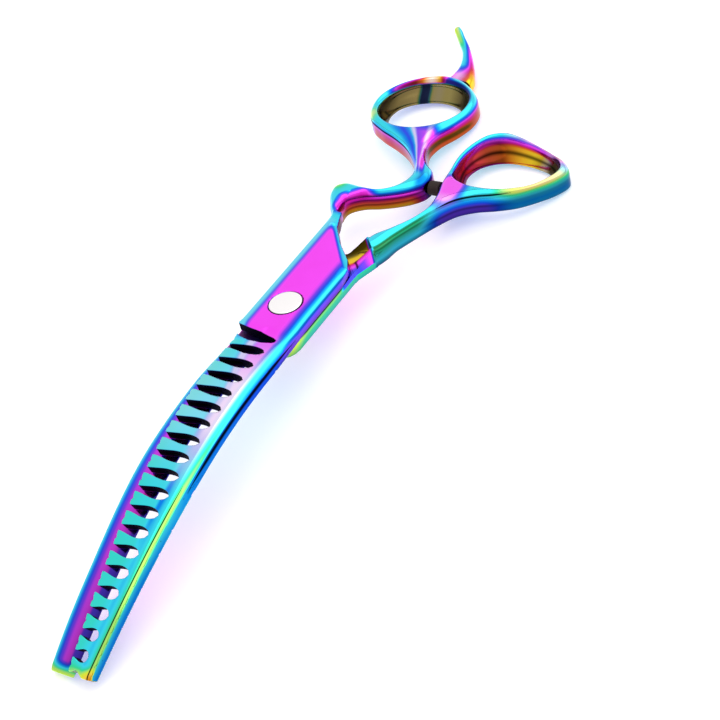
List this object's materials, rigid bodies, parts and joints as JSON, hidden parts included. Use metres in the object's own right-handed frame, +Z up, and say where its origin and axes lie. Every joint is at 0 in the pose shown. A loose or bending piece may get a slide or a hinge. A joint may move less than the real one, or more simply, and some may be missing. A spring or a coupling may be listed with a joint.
{
  "type": "thinning shears",
  "caption": "Curved salon thinning shears: a toothed blade and a plain blade on a screw pivot, with finger and thumb rings and a fixed finger rest.",
  "frame": {"origin": "middle of the pivot screw head's outer face", "axes": "+X towards the blade tips, +Y towards the thumb ring, +Z up from the surface the closed shears lie on; the screw's axis leans about 8 degrees from +Z"},
  "size_m": [0.2009, 0.0603, 0.0186],
  "materials": {
    "coated_steel": "polished stainless steel with a rainbow titanium coating",
    "screw_steel": "polished",
    "washer_steel": "satin",
    "polymer": "natural acetal",
    "rubber": "matte black"
  },
  "bodies": {
    "toothed_half": {"toothed_blade": "coated_steel", "finger_handle": "coated_steel", "finger_rest": "coated_steel", "pivot_screw": "screw_steel", "pivot_bushing": "polymer"},
    "plain_half": {"plain_blade": "coated_steel", "thumb_handle": "coated_steel", "bumper": "rubber", "ride_washer": "polymer", "thrust_washer": "washer_steel", "tension_spring": "washer_steel"},
    "tension_nut": {"tension_nut": "screw_steel"}
  },
  "joints": [
    {"name": "blade_pivot", "type": "hinge", "parent": "toothed_half", "child": "plain_half", "pos_m": [0, 0, 0], "axis": [0.1163, -0.0741, -0.9904], "range_deg": [0, 70]},
    {"name": "tension_adjust", "type": "hinge", "parent": "toothed_half", "child": "tension_nut", "pos_m": [0, 0, 0], "axis": [-0.1163, 0.0741, 0.9904], "range_deg": [-180, 180]}
  ]
}
